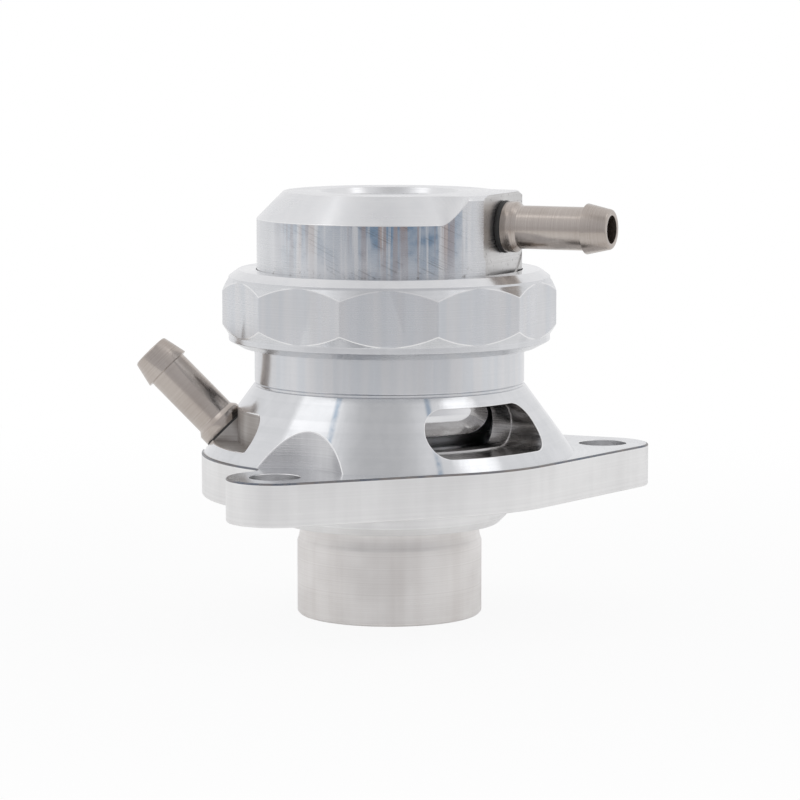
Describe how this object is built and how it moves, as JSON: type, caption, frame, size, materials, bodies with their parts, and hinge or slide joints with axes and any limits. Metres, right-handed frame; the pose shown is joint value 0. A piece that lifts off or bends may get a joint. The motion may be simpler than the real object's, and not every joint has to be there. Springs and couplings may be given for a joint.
{
  "type": "blow off valve",
  "caption": "Piston blow off valve: spigot and eared bolt plate, slotted cone body, screwed clamp ring, turning cap, barbed hose nipples.",
  "frame": {"origin": "on the valve's axis at the open end of the spigot", "axes": "+Z along the axis from the spigot to the cap, X parallel to the line through the two bolt holes, and the bolt holes lie on the -Y side"},
  "size_m": [0.0698, 0.0556, 0.0583],
  "materials": {
    "body_aluminium": "turned and polished",
    "ring_aluminium": "satin, milled flats",
    "cap_aluminium": "fine turned satin, polished chamfer",
    "piston_aluminium": "polished",
    "spring_steel": "drawn wire",
    "nipple_steel": "warm satin",
    "seal_rubber": "matte"
  },
  "bodies": {
    "housing": {"valve_body": "body_aluminium", "clamp_ring": "ring_aluminium", "cap_seal": "seal_rubber", "lower_nipple": "nipple_steel", "lower_nipple_seal": "seal_rubber"},
    "piston": {"piston": "piston_aluminium", "piston_seal_lower": "seal_rubber", "piston_seal_upper": "seal_rubber", "return_spring": "spring_steel"},
    "cap": {"top_cap": "cap_aluminium", "upper_nipple": "nipple_steel", "upper_nipple_seal": "seal_rubber"}
  },
  "joints": [
    {"name": "piston_lift", "type": "slide", "parent": "housing", "child": "piston", "axis": [0, 0, 1], "range_m": [0, 0.0062], "stiffness_N_per_m": 2000, "springref_m": -0.014, "deforming": ["return_spring"]},
    {"name": "cap_swivel", "type": "hinge", "parent": "housing", "child": "cap", "pos_m": [0, 0, 0.0449], "axis": [0, 0, 1], "continuous": true}
  ]
}
